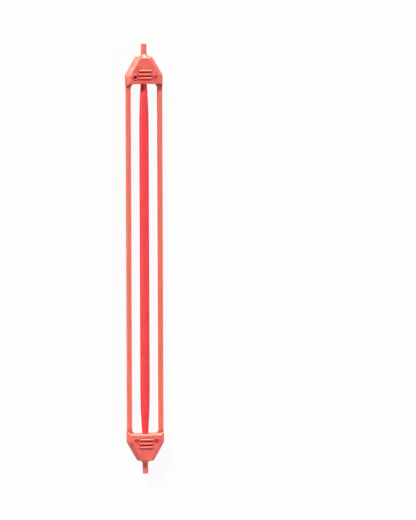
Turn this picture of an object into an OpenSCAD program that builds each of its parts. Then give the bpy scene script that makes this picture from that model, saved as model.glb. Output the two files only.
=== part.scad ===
// Double-ended stitch holder: a one-piece moulded frame of two bevelled heads joined by
// two slim rails, and a double-pointed needle held between two sprung sockets.
// Millimetres. The holder lies face up: +Y runs along the needle, +Z faces the viewer,
// and the backs of the two heads rest on z = 0. Both ends are alike, so each end is
// built once, as the upper one, and mirrored.

/* [Overall] */
// Length over the two end stubs
total_l = 200; // [150:1:260]
// Width over the two rails, and of the heads
frame_w = 17; // [15.6:0.1:20]

/* [Rails] */
// Width of each rail, seen from the front
rail_w = 2.2; // [1.6:0.1:2.6]
// Thickness of each rail, front to back
rail_t = 3; // [2.4:0.1:4]
// Rounding along the rail's edges
rail_edge_r = 0.6; // [0.2:0.05:0.75]
// Radius of the window's four inner corners
window_corner_r = 1.9; // [1:0.1:2.6]

/* [Heads] */
// Length of a head, from the window to its outer end
head_l = 12.6; // [12:0.1:15]
// Thickness of a head, without its ribs
head_t = 7.6; // [7:0.1:10]
// Length of a head's straight sides, from the window to the sloped sides
shoulder_l = 4.1; // [3:0.1:6]
// Width of a head's outer end
outer_end_w = 7.3; // [6.4:0.1:9]
// Inset of the bevel along the sloped sides
slope_bevel = 1.5; // [0.6:0.1:1.7]
// Inset of the bevel along the straight sides
side_bevel = 1.4; // [0.4:0.1:1.5]
// How far those bevels reach down the sides
bevel_drop = 1.6; // [0.8:0.1:1.9]
// Inset of the narrow bevel along the outer end
end_bevel = 0.45; // [0.2:0.05:0.7]
// How far the outer end's bevel reaches down
end_bevel_drop = 0.8; // [0.4:0.1:0.9]

/* [Ramps] */
// Run of the ramp between a head's face and the rails
ramp_run = 0.9; // [0.6:0.05:2]
// How far the foot of the ramp lies inside the window
ramp_foot = 0.2; // [0:0.05:0.4]
// Radius of the ramp's foot where it turns onto the rails
ramp_corner_r = 4.2; // [3.4:0.1:5]
// How far those rounded corners stand in from the sides
ramp_corner_inset = 2.5; // [1.8:0.1:3]

/* [Grip] */
// Number of grip ribs on a head
rib_count = 3; // [1:1:3]
// Distance from one rib to the next
rib_pitch = 1.75; // [1.5:0.05:1.9]
// Length of a rib
rib_l = 6.4; // [4:0.1:6.8]
// Width of a rib
rib_w = 1; // [0.6:0.05:1.2]
// Height of a rib above the face
rib_h = 0.6; // [0.3:0.05:0.7]
// Distance of the middle rib from the window
rib_centre = 4.55; // [4.2:0.05:5.5]
// Diameter of the round dimple on each side of the ribs
dimple_d = 1.8; // [1:0.1:2]
// Depth of a dimple
dimple_depth = 0.8; // [0.2:0.1:1]
// Thickness of the raised rim round a dimple
dimple_rim = 0.6; // [0.2:0.05:0.7]
// Distance of a dimple's centre from the needle's line
dimple_x = 4.75; // [4.6:0.05:5.2]
// Distance of a dimple's centre from the window
dimple_from_window = 3.3; // [3:0.1:4]

/* [Needle] */
// Diameter of the needle
needle_d = 4.4; // [3.6:0.1:4.8]
// Diameter that the taper runs down to at the point
point_d = 1.85; // [1.6:0.05:2.1]
// Length of each taper
taper_l = 27; // [20:1:40]
// Length of the rounded point
point_round_l = 1.3; // [0.8:0.1:2]
// How far each point stands in its socket
engagement = 6.2; // [5:0.1:6.6]
// How far past free a point comes when the needle is pushed into the other socket
free_gap = 0.1; // [0:0.05:0.3]
// Gap all round between the needle and its socket at full travel
socket_gap = 0.12; // [0.06:0.01:0.2]
// Length of the flare at a socket's mouth
mouth_flare = 0.6; // [0.3:0.1:0.9]

/* [Springs] */
// Diameter of the spring wire
wire_d = 0.32; // [0.2:0.02:0.36]
// Distance from the needle's point to where the spring bears on its taper
spring_seat = 3.4; // [2.6:0.1:4.5]
// Number of turns in a spring
spring_turns = 6; // [4:1:7]

/* [End plugs] */
// Diameter of the plug's body, let into the head's outer end
plug_d = 5; // [4.8:0.1:5.4]
// Length of the plug's body
plug_l = 2.6; // [2:0.1:4]
// Gap all round between the plug and the head
plug_gap = 0.02; // [0.01:0.01:0.05]
// Thickness of the plug's wall behind the spring
plug_floor = 0.7; // [0.5:0.1:1]
// Diameter of the collar at the stub's root
collar_d = 4.7; // [3.8:0.1:4.8]
// Length of the collar
collar_l = 1.4; // [1.2:0.1:2]
// Diameter of the stub
stub_d = 2.6; // [2:0.1:3]
// Length of the stub past its collar
stub_l = 4.75; // [2:0.05:8]
// Bevel round the stub's end
stub_bevel = 0.25; // [0.1:0.05:0.5]
// Gap all round between the needle's point and the plug's pocket
pocket_gap = 0.15; // [0.1:0.01:0.2]

/* [Hidden] */
$fn = 64;
// Overshoot that keeps cuts clear of the faces they pass through
over = 1;
// Small gap between a spring and what it bears on
spring_seat_gap = 0.03;
// How far a head's block runs onto the rails past the foot of its ramp
root_lap = 0.5;
mid_z = head_t / 2;
half_w = frame_w / 2;
window_l = total_l - 2 * (head_l + collar_l + stub_l);
window_end = window_l / 2;
window_half_w = half_w - rail_w;
needle_l = window_l + 2 * engagement;
// Centre line of the ramp's two rounded corners
corner_y = window_end - ramp_foot - ramp_corner_r;
dimple_r = dimple_d / 2;
// Radius to the middle of a dimple's rim, close enough for the dimple to cut into it
rim_ring_r = dimple_r + dimple_rim / 3;
// Travel of the needle each way, until the far point is out of its socket
travel = engagement + free_gap;

// Radius of the needle at a distance s from its point, without the rounding
function taper_r(s) =
    let (left = max(0, 1 - s / taper_l)) needle_d / 2 - (needle_d - point_d) / 2 * left * left;
// Radius of the needle at a distance s from its point, with the rounding
function needle_r(s) =
    s >= point_round_l ? taper_r(s)
        : taper_r(point_round_l) * sqrt(max(0, 1 - pow(1 - s / point_round_l, 2)));

// The socket passes the widest part of the taper that enters it
socket_r = needle_r(engagement + travel) + socket_gap;
// The plug's pocket passes the point, and ends just past its furthest reach
pocket_r = taper_r(point_round_l) + pocket_gap;
pocket_end = engagement + travel + pocket_gap;
plug_floor_at = head_l - plug_floor;
// The spring's bore is as wide as the taper on which its first turn bears
spring_d = 2 * (taper_r(spring_seat) + spring_seat_gap + wire_d);
spring_from = engagement - spring_seat;
spring_to = plug_floor_at - spring_seat_gap;

TAPER_STEPS = 14;
POINT_STEPS = 6;
COLLAR_STEPS = 5;
// 1 makes the collar a straight cone, and more makes it hollow
COLLAR_CURVE = 1.3;
WIRE_SIDES = 6;
TURN_RINGS = 14;

// Puts what is built along +Z from the window's end into the upper socket, on its axis
module along_upper_socket() {
    translate([0, window_end, mid_z]) rotate([-90, 0, 0]) children();
}

// Makes a copy for the upper end and one for the lower end
module both_ends() {
    children();
    mirror([0, 1, 0]) children();
}

// Makes a copy on the front and one on the back, about the frame's middle plane
module front_and_back() {
    children();
    translate([0, 0, 2 * mid_z]) mirror([0, 0, 1]) children();
}

// The window between the rails, with rounded corners
module window_outline() {
    r = window_corner_r;
    square([2 * window_half_w, window_l - 2 * r], center = true);
    square([2 * (window_half_w - r), window_l], center = true);
    for (side = [-1, 1], end = [-1, 1])
        translate([side * (window_half_w - r), end * (window_end - r)]) circle(r);
}

// A rail: a bar with rounded edges that runs into both heads
module rail(side) {
    r = rail_edge_r;
    x = side * (half_w - rail_w / 2);
    translate([x, window_end + shoulder_l, mid_z]) rotate([90, 0, 0])
        linear_extrude(window_l + 2 * shoulder_l) {
            square([rail_w - 2 * r, rail_t], center = true);
            square([rail_w, rail_t - 2 * r], center = true);
            for (i = [-1, 1], k = [-1, 1])
                translate([i * (rail_w / 2 - r), k * (rail_t / 2 - r)]) circle(r);
        }
}

// The webs that round the window's corners, as thick as the rails
module corner_webs() {
    web_w = 2 * (window_half_w + rail_edge_r);
    translate([0, 0, mid_z - rail_t / 2]) linear_extrude(rail_t) difference() {
        translate([-web_w / 2, window_end - window_corner_r])
            square([web_w, window_corner_r + shoulder_l / 2]);
        window_outline();
    }
}

// A wedge that bevels the edge from p to q of a head's front, p to q having the head on its left
module edge_bevel(p, q, inset, drop) {
    run = q - p;
    tilt = atan2(run[1], run[0]);
    length = norm(run) + 2 * head_l;
    // Continues the bevel's plane past the edge on both sides
    past = 2;
    profile = [
        [-past * inset, -drop - past * drop],
        [(1 + past) * inset, past * drop],
        [-past * inset, past * drop],
    ];
    translate([p[0], p[1], head_t]) rotate([0, 0, tilt]) translate([-head_l, 0, 0])
        rotate([90, 0, 90]) linear_extrude(length) polygon(profile);
}

// What is cut from a head's front to leave the ramp: a block with a sloped, round-cornered end
module ramp_cut() {
    foot_z = mid_z + rail_t / 2;
    drop = head_t - foot_z;
    slope = ramp_run / drop;
    cut_h = drop + over;
    corner_x = half_w - ramp_corner_inset;
    profile = [
        [-ramp_corner_r, 0],
        [ramp_corner_r, 0],
        [ramp_corner_r + slope * cut_h, cut_h],
        [-ramp_corner_r, cut_h],
    ];
    for (side = [-1, 1])
        translate([side * corner_x, corner_y, foot_z])
            cylinder(h = cut_h, r1 = ramp_corner_r, r2 = ramp_corner_r + slope * cut_h);
    translate([-corner_x, corner_y, foot_z]) rotate([90, 0, 90])
        linear_extrude(2 * corner_x) polygon(profile);
    translate([-half_w - over, corner_y - ramp_corner_r, foot_z])
        cube([frame_w + 2 * over, ramp_corner_r, cut_h]);
}

// The upper head as a block with bevelled edges, still at full thickness towards the window
module bevelled_block() {
    ramp_end = corner_y + sqrt(pow(ramp_corner_r, 2) - pow(ramp_corner_inset, 2));
    root = ramp_end - root_lap;
    shoulder = window_end + shoulder_l;
    outer = window_end + head_l;
    end_x = outer_end_w / 2;
    difference() {
        linear_extrude(head_t) difference() {
            polygon([
                [-half_w, root], [half_w, root], [half_w, shoulder],
                [end_x, outer], [-end_x, outer], [-half_w, shoulder],
            ]);
            window_outline();
        }
        front_and_back() {
            edge_bevel([half_w, root], [half_w, shoulder], side_bevel, bevel_drop);
            edge_bevel([-half_w, shoulder], [-half_w, root], side_bevel, bevel_drop);
            edge_bevel([half_w, shoulder], [end_x, outer], slope_bevel, bevel_drop);
            edge_bevel([-end_x, outer], [-half_w, shoulder], slope_bevel, bevel_drop);
            edge_bevel([end_x, outer], [-end_x, outer], end_bevel, end_bevel_drop);
        }
    }
}

// The upper head's block, ramped down to the rails on both faces
module head_block() {
    difference() {
        bevelled_block();
        front_and_back() ramp_cut();
    }
}

// A rounded grip rib lying across the face
module rib(y) {
    r = rib_w / 2;
    half_l = rib_l / 2 - r;
    translate([0, y, head_t + rib_h - r]) {
        rotate([0, 90, 0]) cylinder(r = r, h = 2 * half_l, center = true);
        for (side = [-1, 1]) translate([side * half_l, 0, 0]) sphere(r);
    }
}

module ribs() {
    for (i = [0 : rib_count - 1])
        rib(window_end + rib_centre + (i - (rib_count - 1) / 2) * rib_pitch);
}

module at_dimples() {
    for (side = [-1, 1])
        translate([side * dimple_x, window_end + dimple_from_window, head_t]) children();
}

// The socket's bore, its flared mouth and the seat for the plug
module socket_cut() {
    cylinder(r = socket_r, h = head_l + over);
    translate([0, 0, -over])
        cylinder(r1 = socket_r + mouth_flare + over, r2 = socket_r, h = mouth_flare + over);
    translate([0, 0, head_l - plug_l]) cylinder(d = plug_d + 2 * plug_gap, h = plug_l + over);
}

module upper_head() {
    difference() {
        union() {
            head_block();
            corner_webs();
            ribs();
            at_dimples() rotate_extrude() translate([rim_ring_r, 0]) circle(d = dimple_rim);
        }
        at_dimples() translate([0, 0, -dimple_depth]) cylinder(r = dimple_r, h = dimple_depth + over);
        along_upper_socket() socket_cut();
    }
}

module frame() {
    color("#F4766C") {
        both_ends() upper_head();
        for (side = [-1, 1]) rail(side);
    }
}

module needle() {
    near = [for (i = [0 : POINT_STEPS]) let (a = 90 * i / POINT_STEPS) point_round_l * (1 - cos(a))];
    far = [
        for (i = [1 : TAPER_STEPS])
            point_round_l + (taper_l - point_round_l) * i / TAPER_STEPS
    ];
    stations = concat(near, far);
    last = len(stations) - 1;
    half_l = needle_l / 2;
    profile = concat(
        [for (s = stations) [needle_r(s), s - half_l]],
        [for (i = [last : -1 : 0]) [needle_r(stations[i]), half_l - stations[i]]]
    );
    color("#FB4A55") translate([0, 0, mid_z]) rotate([-90, 0, 0]) rotate_extrude() polygon(profile);
}

// A round wire wound into an open coil along +Z, as one unbroken tube
module coil(coil_d, coil_l, turns) {
    mean_r = (coil_d - wire_d) / 2;
    rings = turns * TURN_RINGS;
    pitch = (coil_l - wire_d) / turns;
    lead = atan2(pitch, 2 * PI * mean_r);
    points = [
        for (i = [0 : rings], k = [0 : WIRE_SIDES - 1])
            let (
                a = 360 * i / TURN_RINGS,
                b = 360 * k / WIRE_SIDES,
                out = mean_r + wire_d / 2 * cos(b),
                up = wire_d / 2 * sin(b)
            )
            [
                out * cos(a) + up * sin(lead) * sin(a),
                out * sin(a) - up * sin(lead) * cos(a),
                wire_d / 2 + pitch * i / TURN_RINGS + up * cos(lead)
            ]
    ];
    walls = [
        for (i = [0 : rings - 1], k = [0 : WIRE_SIDES - 1])
            let (
                a = i * WIRE_SIDES + k,
                b = i * WIRE_SIDES + (k + 1) % WIRE_SIDES,
                c = b + WIRE_SIDES,
                d = a + WIRE_SIDES
            )
            each [[a, b, c], [a, c, d]]
    ];
    first_end = [for (k = [1 : WIRE_SIDES - 2]) [0, k + 1, k]];
    base = rings * WIRE_SIDES;
    last_end = [for (k = [1 : WIRE_SIDES - 2]) [base, base + k, base + k + 1]];
    polyhedron(points, concat(walls, first_end, last_end));
}

module upper_spring() {
    color("silver") along_upper_socket() translate([0, 0, spring_from])
        coil(spring_d, spring_to - spring_from, spring_turns);
}

module lower_spring() {
    mirror([0, 1, 0]) upper_spring();
}

// Closes the socket's outer end: a cup that backs the spring, a flared collar and the stub
module upper_plug() {
    outer_r = plug_d / 2;
    stub_r = stub_d / 2;
    stub_from = head_l + collar_l;
    stub_to = stub_from + stub_l;
    flare = collar_d / 2 - stub_r;
    collar = [
        for (i = [0 : COLLAR_STEPS])
            let (t = i / COLLAR_STEPS)
            [stub_r + flare * pow(1 - t, COLLAR_CURVE), head_l + collar_l * t]
    ];
    profile = concat(
        [[0, plug_floor_at], [outer_r, plug_floor_at], [outer_r, head_l]],
        collar,
        [[stub_r, stub_to - stub_bevel], [stub_r - stub_bevel, stub_to], [0, stub_to]]
    );
    color("#F4766C") along_upper_socket() difference() {
        union() {
            rotate_extrude() polygon(profile);
            translate([0, 0, head_l - plug_l]) cylinder(r = outer_r, h = plug_l);
        }
        translate([0, 0, head_l - plug_l - over]) cylinder(r = socket_r, h = plug_l - plug_floor + over);
        cylinder(r = pocket_r, h = pocket_end - pocket_r);
        translate([0, 0, pocket_end - pocket_r]) sphere(pocket_r);
    }
}

module lower_plug() {
    mirror([0, 1, 0]) upper_plug();
}

frame();
needle();
upper_spring();
lower_spring();
upper_plug();
lower_plug();
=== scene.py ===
import math

import bmesh
import bpy
from mathutils import Matrix, Vector


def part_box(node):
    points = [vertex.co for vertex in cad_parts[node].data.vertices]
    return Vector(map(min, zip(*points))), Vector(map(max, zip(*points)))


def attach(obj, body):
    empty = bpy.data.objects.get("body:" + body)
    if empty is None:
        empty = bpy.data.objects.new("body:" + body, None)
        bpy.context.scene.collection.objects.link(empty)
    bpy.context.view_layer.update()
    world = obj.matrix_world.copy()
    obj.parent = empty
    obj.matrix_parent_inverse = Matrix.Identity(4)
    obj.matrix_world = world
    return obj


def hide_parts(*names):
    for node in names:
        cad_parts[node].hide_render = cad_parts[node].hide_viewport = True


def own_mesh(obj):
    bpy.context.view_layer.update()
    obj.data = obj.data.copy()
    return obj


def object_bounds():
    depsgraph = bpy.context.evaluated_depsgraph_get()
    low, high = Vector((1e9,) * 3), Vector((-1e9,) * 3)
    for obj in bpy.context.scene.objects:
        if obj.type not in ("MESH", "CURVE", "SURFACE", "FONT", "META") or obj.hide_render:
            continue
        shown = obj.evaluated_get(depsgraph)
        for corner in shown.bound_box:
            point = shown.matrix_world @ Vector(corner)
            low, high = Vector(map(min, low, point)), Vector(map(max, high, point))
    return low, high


# The holder lies face up on the floor, its needle along +Y, as in the part's own frame.
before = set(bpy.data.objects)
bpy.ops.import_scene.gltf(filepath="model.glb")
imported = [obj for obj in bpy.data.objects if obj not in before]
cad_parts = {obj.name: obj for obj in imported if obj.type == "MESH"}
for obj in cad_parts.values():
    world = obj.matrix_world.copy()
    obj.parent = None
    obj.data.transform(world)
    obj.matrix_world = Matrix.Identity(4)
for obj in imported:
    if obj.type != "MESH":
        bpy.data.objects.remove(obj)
cad_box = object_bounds()
MM = 0.001

# Where the photograph shows the holder, in pixels of its 416 x 520 frame
PHOTO_W = 416
PHOTO_H = 520
TOP_PX = (144.0, 43.8)
BOTTOM_PX = (145.6, 473.8)

# Direction from the holder to the camera, as angles from straight above
SEEN_FROM_LEFT = math.radians(10.3)
SEEN_FROM_TOP_END = math.radians(4.5)
CAMERA_DISTANCE = 5.0

# Each lamp has the direction from the holder to it. The key comes from past the upper end and a
# little from the left, the fill from the lower right. The fill adds no gloss.
KEY_FROM = Vector((-0.36, 0.80, 0.48))
KEY_COLOUR = (1.0, 0.96, 0.90)
KEY_STRENGTH = 4.05
KEY_ANGLE = math.radians(9)
FILL_FROM = Vector((0.68, -0.58, 0.42))
FILL_COLOUR = (0.90, 0.94, 1.0)
FILL_STRENGTH = 2.05
FILL_ANGLE = math.radians(50)
# Two lamps that show only as gloss, one past the upper end and one at the left. They stand low, so
# that the bevels catch them and the flat front hardly does.
GLOSS_END_FROM = Vector((0.24, 0.97, 0.06))
GLOSS_LEFT_FROM = Vector((-0.90, 0.42, 0.05))
GLOSS_COLOUR = (1.0, 0.80, 0.52)
GLOSS_END_STRENGTH = 29
GLOSS_LEFT_STRENGTH = 11
GLOSS_ANGLE = math.radians(14)
SKY_STRENGTH = 0.1

# Length of a head, and of the stretch over which its colour turns into that of the rails
HEAD_L = 12.6 * MM
RAIL_BLEND = 4 * MM

# Painted shade: narrow recesses get a deeper red painted into their colour, where shade falls. How near
# their walls stand, and the open share of the directions round a point at which the painted shade is
# full and at which it is gone
SHADE_PAINT_REACH = 0.7 * MM
SHADE_PAINT_FULL_AT = 0.80
SHADE_PAINT_NONE_AT = 0.95

# How much of the floor's own shading the camera sees over its white
FLOOR_SHADING = 0.06

# Rounding that the moulding has along its sharp edges
EDGE_ROUND = 0.13 * MM
SHORTEST_ROUNDED = 0.25 * MM
SHARP_ANGLE = math.radians(15)

# The round dimples beside the ribs. All but the upper left one are faint in the photograph, so their
# rims and floors keep only this share of their distance from the head's face.
DIMPLE_X = 4.75 * MM
DIMPLE_Y = 84.55 * MM
DIMPLE_REACH = 1.45 * MM
HEAD_FACE_Z = 7.6 * MM
FAINT_SHARE = 0.4

# Springs: wire diameter and number of turns
WIRE_D = 0.32 * MM
SPRING_TURNS = 6


def linear(red, green, blue):
    """A colour given as sRGB parts of 255, as the linear values that a shader takes."""
    def channel(value):
        part = value / 255
        return part / 12.92 if part <= 0.04045 else ((part + 0.055) / 1.055) ** 2.4
    return (channel(red), channel(green), channel(blue), 1.0)


CORAL = linear(240, 112, 102)
CORAL_DEEP = linear(228, 94, 86)
CORAL_PALE = linear(248, 132, 114)
RAIL_ORANGE = linear(238, 122, 96)
# Painted shade colour for narrow recesses, between the ribs and in the dimples
PAINTED_SHADE_RED = linear(195, 0, 0)
NEEDLE_RED = linear(252, 77, 87)
NEEDLE_DEEP = linear(244, 67, 81)
NEEDLE_PALE = linear(255, 92, 98)
STEEL = linear(186, 188, 192)
STEEL_DARK = linear(150, 152, 158)
WHITE = (1.0, 1.0, 1.0, 1.0)


class Shader:
    """A material's node tree, with short names for the steps that the materials share."""

    def __init__(self, name):
        self.material = bpy.data.materials.new(name)
        self.material.use_nodes = True
        self.tree = self.material.node_tree
        self.bsdf = self.tree.nodes["Principled BSDF"]
        self.coords = self.add("ShaderNodeTexCoord").outputs["Object"]

    def add(self, kind, **values):
        node = self.tree.nodes.new(kind)
        for key, value in values.items():
            setattr(node, key, value)
        return node

    def link(self, source, target):
        self.tree.links.new(source, target)

    def noise(self, scale, detail=3.0, stretch=(1.0, 1.0, 1.0)):
        """Noise in the object's own space, stretched along the axes; scale is in bumps a metre."""
        mapping = self.add("ShaderNodeMapping")
        mapping.inputs["Scale"].default_value = stretch
        self.link(self.coords, mapping.inputs["Vector"])
        node = self.add("ShaderNodeTexNoise")
        node.inputs["Scale"].default_value = scale
        node.inputs["Detail"].default_value = detail
        self.link(mapping.outputs["Vector"], node.inputs["Vector"])
        return node.outputs["Fac"]

    def ramp(self, factor, low, high, start, end):
        """Runs from the colour or grey low to high as the factor goes from start to end."""
        node = self.add("ShaderNodeValToRGB")
        node.color_ramp.elements[0].position = start
        node.color_ramp.elements[1].position = end
        node.color_ramp.elements[0].color = low
        node.color_ramp.elements[1].color = high
        self.link(factor, node.inputs["Fac"])
        return node.outputs["Color"]

    def mix(self, factor, first, second):
        node = self.add("ShaderNodeMix", data_type="RGBA")
        self.link(factor, node.inputs["Factor"])
        for index, value in ((6, first), (7, second)):
            if isinstance(value, tuple):
                node.inputs[index].default_value = value
            else:
                self.link(value, node.inputs[index])
        return node.outputs[2]

    def bump(self, height, strength, distance, normal=None):
        node = self.add("ShaderNodeBump")
        node.inputs["Strength"].default_value = strength
        node.inputs["Distance"].default_value = distance
        self.link(height, node.inputs["Height"])
        if normal is not None:
            self.link(normal, node.inputs["Normal"])
        return node.outputs["Normal"]

    def with_painted_shade(self, colour, deep):
        """Paints shade into the colour: a deeper red where walls stand close round the surface."""
        node = self.add("ShaderNodeAmbientOcclusion", samples=16, only_local=True)
        node.inputs["Distance"].default_value = SHADE_PAINT_REACH
        free = self.ramp(node.outputs["AO"], grey(0.0), grey(1.0), SHADE_PAINT_FULL_AT, SHADE_PAINT_NONE_AT)
        return self.mix(free, deep, colour)


def grey(value):
    return (value, value, value, 1.0)


def moulded_plastic(name, colour, deep, pale, along, roughness, gloss):
    """Injection-moulded plastic: soft mottling, faint flow streaks and a fine skin."""
    shader = Shader(name)
    mottle = shader.ramp(shader.noise(230, 4.0), colour, deep, 0.42, 0.78)
    streaks = shader.ramp(shader.noise(420, 2.0, along), grey(0.0), grey(0.35), 0.5, 0.8)
    shader.body = shader.mix(streaks, mottle, pale)
    shader.link(shader.body, shader.bsdf.inputs["Base Color"])
    skin = shader.ramp(shader.noise(900, 5.0), grey(roughness - 0.05), grey(roughness + 0.08), 0.3, 0.7)
    shader.link(skin, shader.bsdf.inputs["Roughness"])
    fine = shader.bump(shader.noise(5200, 3.0), 0.18, 0.02 * MM)
    wave = shader.bump(shader.noise(330, 2.0), 0.25, 0.06 * MM, fine)
    shader.link(wave, shader.bsdf.inputs["Normal"])
    shader.bsdf.inputs["IOR"].default_value = 1.5
    shader.bsdf.inputs["Specular IOR Level"].default_value = gloss
    shader.bsdf.inputs["Subsurface Weight"].default_value = 0.8
    shader.bsdf.inputs["Subsurface Radius"].default_value = (1.0, 0.12, 0.1)
    shader.bsdf.inputs["Subsurface Scale"].default_value = 0.6 * MM
    return shader


def frame_plastic_material():
    """The coral plastic, a little more orange along the thin rails, with shade painted deep red between
    the ribs.
    """
    shader = moulded_plastic(
        "frame_plastic", CORAL, CORAL_DEEP, CORAL_PALE, (1.0, 0.12, 1.0), roughness=0.54, gloss=0.5
    )
    low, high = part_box("frame")
    head_from = high.y - HEAD_L
    parts = shader.add("ShaderNodeSeparateXYZ")
    shader.link(shader.coords, parts.inputs[0])
    from_middle = shader.add("ShaderNodeMath", operation="ABSOLUTE")
    shader.link(parts.outputs["Y"], from_middle.inputs[0])
    along = shader.add("ShaderNodeMapRange", interpolation_type="SMOOTHSTEP")
    along.inputs["From Min"].default_value = head_from - RAIL_BLEND
    along.inputs["From Max"].default_value = head_from
    shader.link(from_middle.outputs[0], along.inputs["Value"])
    orange = shader.mix(shader.noise(300, 3.0, (1.0, 0.2, 1.0)), RAIL_ORANGE, CORAL)
    colour = shader.mix(along.outputs["Result"], orange, shader.body)
    # Painted shade: the colour turns deep red in narrow recesses
    shader.link(shader.with_painted_shade(colour, PAINTED_SHADE_RED), shader.bsdf.inputs["Base Color"])
    return shader.material


def drawn_wire(name):
    """Bright spring wire with fine draw marks along it."""
    shader = Shader(name)
    marks = shader.noise(6000, 2.0, (1.0, 8.0, 1.0))
    shader.link(shader.ramp(marks, STEEL, STEEL_DARK, 0.4, 0.75), shader.bsdf.inputs["Base Color"])
    shader.link(shader.ramp(marks, grey(0.22), grey(0.4), 0.3, 0.7), shader.bsdf.inputs["Roughness"])
    shader.bsdf.inputs["Metallic"].default_value = 1.0
    return shader.material


def dress(node, material):
    """Gives a CAD node its material."""
    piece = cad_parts[node]
    piece.data.materials.clear()
    piece.data.materials.append(material)


def faint_dimples(work):
    """Brings the floors and rims of all dimples but the upper left one nearer to the head's face."""
    for vert in work.verts:
        place = vert.co
        upper_left = place.x < 0 < place.y
        from_middle = math.hypot(abs(place.x) - DIMPLE_X, abs(place.y) - DIMPLE_Y)
        if from_middle < DIMPLE_REACH and place.z > HEAD_FACE_Z / 2 and not upper_left:
            place.z = HEAD_FACE_Z + (place.z - HEAD_FACE_Z) * FAINT_SHARE


def softened_frame(material):
    """A copy of the frame whose long outer edges are rounded, as those of a moulding are."""
    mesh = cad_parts["frame"].data.copy()
    mesh.name = "moulded_frame"
    work = bmesh.new()
    work.from_mesh(mesh)
    bmesh.ops.remove_doubles(work, verts=work.verts, dist=0.002 * MM)
    bmesh.ops.dissolve_limit(work, angle_limit=math.radians(0.6), verts=work.verts, edges=work.edges)
    faint_dimples(work)
    weight = work.edges.layers.float.new("bevel_weight_edge")
    for edge in work.edges:
        edge.smooth = edge.calc_face_angle(0) < SHARP_ANGLE
        if not edge.smooth and edge.is_convex and edge.calc_length() > SHORTEST_ROUNDED:
            edge[weight] = 1.0
            edge.smooth = True
    work.to_mesh(mesh)
    work.free()
    imported_normals = mesh.attributes.get("custom_normal")
    if imported_normals is not None:
        mesh.attributes.remove(imported_normals)
    mesh.materials.clear()
    mesh.materials.append(material)
    for face in mesh.polygons:
        face.use_smooth = True
    piece = bpy.data.objects.new("moulded_frame", mesh)
    bpy.context.scene.collection.objects.link(piece)
    rounding = piece.modifiers.new("edges", "BEVEL")
    rounding.limit_method = "WEIGHT"
    rounding.width = EDGE_ROUND
    rounding.segments = 2
    rounding.use_clamp_overlap = False
    flat = piece.modifiers.new("flat_faces", "WEIGHTED_NORMAL")
    flat.weight = 100
    flat.keep_sharp = True
    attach(piece, "frame")
    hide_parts("frame")
    return piece


def coil_spring(name, node, towards, material):
    """A round wire wound along the socket, in the place of its CAD node; towards is the end's sign."""
    low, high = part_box(node)
    mean_r = (high.x - low.x - WIRE_D) / 2
    middle_z = (low.z + high.z) / 2
    near, far = sorted((abs(low.y), abs(high.y)))
    pitch = (far - near - WIRE_D) / SPRING_TURNS
    lead = math.atan2(pitch, 2 * math.pi * mean_r)
    turn_rings, sides = 36, 12
    rings = SPRING_TURNS * turn_rings + 1
    points = []
    for ring in range(rings):
        a = 2 * math.pi * ring / turn_rings
        along = near + WIRE_D / 2 + pitch * ring / turn_rings
        for k in range(sides):
            b = 2 * math.pi * k / sides
            out = mean_r + WIRE_D / 2 * math.cos(b)
            up = WIRE_D / 2 * math.sin(b)
            x = out * math.cos(a) + up * math.sin(lead) * math.sin(a)
            side = out * math.sin(a) - up * math.sin(lead) * math.cos(a)
            points.append((x, towards * (along + up * math.cos(lead)), middle_z - side))
    faces = []
    for ring in range(rings - 1):
        for k in range(sides):
            a, b = ring * sides + k, ring * sides + (k + 1) % sides
            faces.append((a, b, b + sides, a + sides))
    faces.append(tuple(reversed(range(sides))))
    faces.append(tuple((rings - 1) * sides + k for k in range(sides)))
    mesh = bpy.data.meshes.new(name)
    mesh.from_pydata(points, [], faces)
    work = bmesh.new()
    work.from_mesh(mesh)
    bmesh.ops.recalc_face_normals(work, faces=work.faces)
    work.to_mesh(mesh)
    work.free()
    for face in mesh.polygons:
        face.use_smooth = len(face.vertices) == 4
    mesh.materials.append(material)
    piece = bpy.data.objects.new(name, mesh)
    bpy.context.scene.collection.objects.link(piece)
    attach(piece, "frame")
    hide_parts(node)
    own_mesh(piece)


def seen_directly(tree):
    """1 for what the camera sees itself, in a reflection or through glass."""
    path = tree.nodes.new("ShaderNodeLightPath")
    either = tree.nodes.new("ShaderNodeMath")
    either.operation = "MAXIMUM"
    tree.links.new(path.outputs["Is Camera Ray"], either.inputs[0])
    tree.links.new(path.outputs["Is Glossy Ray"], either.inputs[1])
    every = tree.nodes.new("ShaderNodeMath")
    every.operation = "MAXIMUM"
    tree.links.new(either.outputs[0], every.inputs[0])
    tree.links.new(path.outputs["Is Transmission Ray"], every.inputs[1])
    return every.outputs[0]


def make_floor():
    """A white sheet under the holder that still takes a faint shadow."""
    size = 4.0
    mesh = bpy.data.meshes.new("floor")
    corners = [(-size, -size, 0), (size, -size, 0), (size, size, 0), (-size, size, 0)]
    mesh.from_pydata(corners, [], [(0, 1, 2, 3)])
    floor = bpy.data.objects.new("floor", mesh)
    bpy.context.scene.collection.objects.link(floor)
    material = bpy.data.materials.new("floor_white")
    material.use_nodes = True
    tree = material.node_tree
    tree.nodes.clear()
    diffuse = tree.nodes.new("ShaderNodeBsdfDiffuse")
    diffuse.inputs["Color"].default_value = grey(0.8)
    glow = tree.nodes.new("ShaderNodeEmission")
    glow.inputs["Color"].default_value = WHITE
    pale = tree.nodes.new("ShaderNodeMixShader")
    pale.inputs["Fac"].default_value = FLOOR_SHADING
    choose = tree.nodes.new("ShaderNodeMixShader")
    out = tree.nodes.new("ShaderNodeOutputMaterial")
    tree.links.new(glow.outputs[0], pale.inputs[1])
    tree.links.new(diffuse.outputs[0], pale.inputs[2])
    tree.links.new(seen_directly(tree), choose.inputs["Fac"])
    tree.links.new(diffuse.outputs[0], choose.inputs[1])
    tree.links.new(pale.outputs[0], choose.inputs[2])
    tree.links.new(choose.outputs[0], out.inputs["Surface"])
    mesh.materials.append(material)


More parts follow.
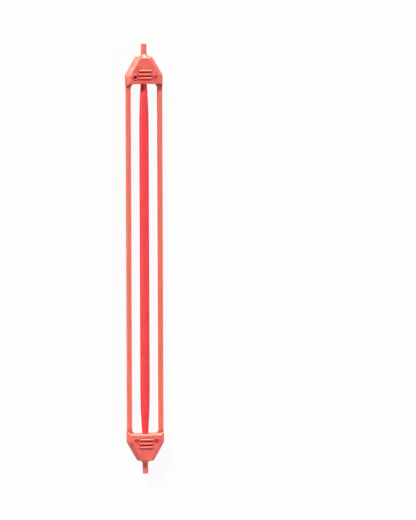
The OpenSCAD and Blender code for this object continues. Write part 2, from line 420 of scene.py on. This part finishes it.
def make_world():
    """White where it is seen, and a plain even fill where it only lights."""
    world = bpy.data.worlds.new("studio")
    bpy.context.scene.world = world
    world.use_nodes = True
    tree = world.node_tree
    tree.nodes.clear()
    light = tree.nodes.new("ShaderNodeBackground")
    light.inputs["Color"].default_value = WHITE
    light.inputs["Strength"].default_value = SKY_STRENGTH
    seen = tree.nodes.new("ShaderNodeBackground")
    seen.inputs["Color"].default_value = WHITE
    seen.inputs["Strength"].default_value = 1.0
    mix = tree.nodes.new("ShaderNodeMixShader")
    out = tree.nodes.new("ShaderNodeOutputWorld")
    tree.links.new(seen_directly(tree), mix.inputs["Fac"])
    tree.links.new(light.outputs[0], mix.inputs[1])
    tree.links.new(seen.outputs[0], mix.inputs[2])
    tree.links.new(mix.outputs[0], out.inputs["Surface"])


def make_sun(name, source, colour, strength, angle):
    data = bpy.data.lights.new(name, "SUN")
    data.color = colour
    data.energy = strength
    data.angle = angle
    lamp = bpy.data.objects.new(name, data)
    lamp.rotation_euler = source.to_track_quat("Z", "Y").to_euler()
    bpy.context.scene.collection.objects.link(lamp)
    return lamp


def make_camera():
    """Sees the holder where the photograph has it, from the same side and at the same scale."""
    low, high = (Vector(corner) for corner in cad_box)
    middle = (low + high) / 2
    run = Vector(BOTTOM_PX) - Vector(TOP_PX)
    metres_per_pixel = (high.y - low.y) / run.length
    across = math.sin(SEEN_FROM_LEFT)
    along = math.sin(SEEN_FROM_TOP_END)
    towards = Vector((-across, along, math.sqrt(1 - across ** 2 - along ** 2)))
    up = (Vector((0, 1, 0)) - towards * along).normalized()
    right = up.cross(towards)
    # The holder leans a little in the picture, so the camera rolls by as much
    lean = math.atan2(run.x, run.y)
    roll = Matrix.Rotation(-lean, 3, towards)
    up = roll @ up
    right = roll @ right
    seen = (Vector(TOP_PX) + Vector(BOTTOM_PX)) / 2
    offset = right * (PHOTO_W / 2 - seen.x) + up * (seen.y - PHOTO_H / 2)
    data = bpy.data.cameras.new("camera")
    # The sensor's width lies along the picture's longer side, which is its height
    shown = PHOTO_H * metres_per_pixel * math.cos(SEEN_FROM_TOP_END)
    data.lens = data.sensor_width * CAMERA_DISTANCE / shown
    data.clip_end = 20
    camera = bpy.data.objects.new("camera", data)
    turn = Matrix((right, up, towards)).transposed().to_4x4()
    place = middle + offset * metres_per_pixel + towards * CAMERA_DISTANCE
    camera.matrix_world = Matrix.Translation(place) @ turn
    bpy.context.scene.collection.objects.link(camera)
    bpy.context.scene.camera = camera


frame_plastic = frame_plastic_material()
needle_plastic = moulded_plastic(
    "needle_plastic", NEEDLE_RED, NEEDLE_DEEP, NEEDLE_PALE, (1.0, 0.05, 1.0), roughness=0.5, gloss=0.2
).material
spring_steel = drawn_wire("spring_steel")
softened_frame(frame_plastic)
for node in ("upper_plug", "lower_plug"):
    dress(node, frame_plastic)
dress("needle", needle_plastic)
coil_spring("upper_coil", "upper_spring", 1, spring_steel)
coil_spring("lower_coil", "lower_spring", -1, spring_steel)

make_floor()
make_world()
make_sun("key", KEY_FROM, KEY_COLOUR, KEY_STRENGTH, KEY_ANGLE)
fill = make_sun("fill", FILL_FROM, FILL_COLOUR, FILL_STRENGTH, FILL_ANGLE)
fill.visible_glossy = False
gloss_end = make_sun("gloss_end", GLOSS_END_FROM, GLOSS_COLOUR, GLOSS_END_STRENGTH, GLOSS_ANGLE)
gloss_left = make_sun("gloss_left", GLOSS_LEFT_FROM, GLOSS_COLOUR, GLOSS_LEFT_STRENGTH, GLOSS_ANGLE)
for lamp in (gloss_end, gloss_left):
    lamp.visible_diffuse = False
make_camera()
bpy.context.scene.view_settings.view_transform = "Standard"
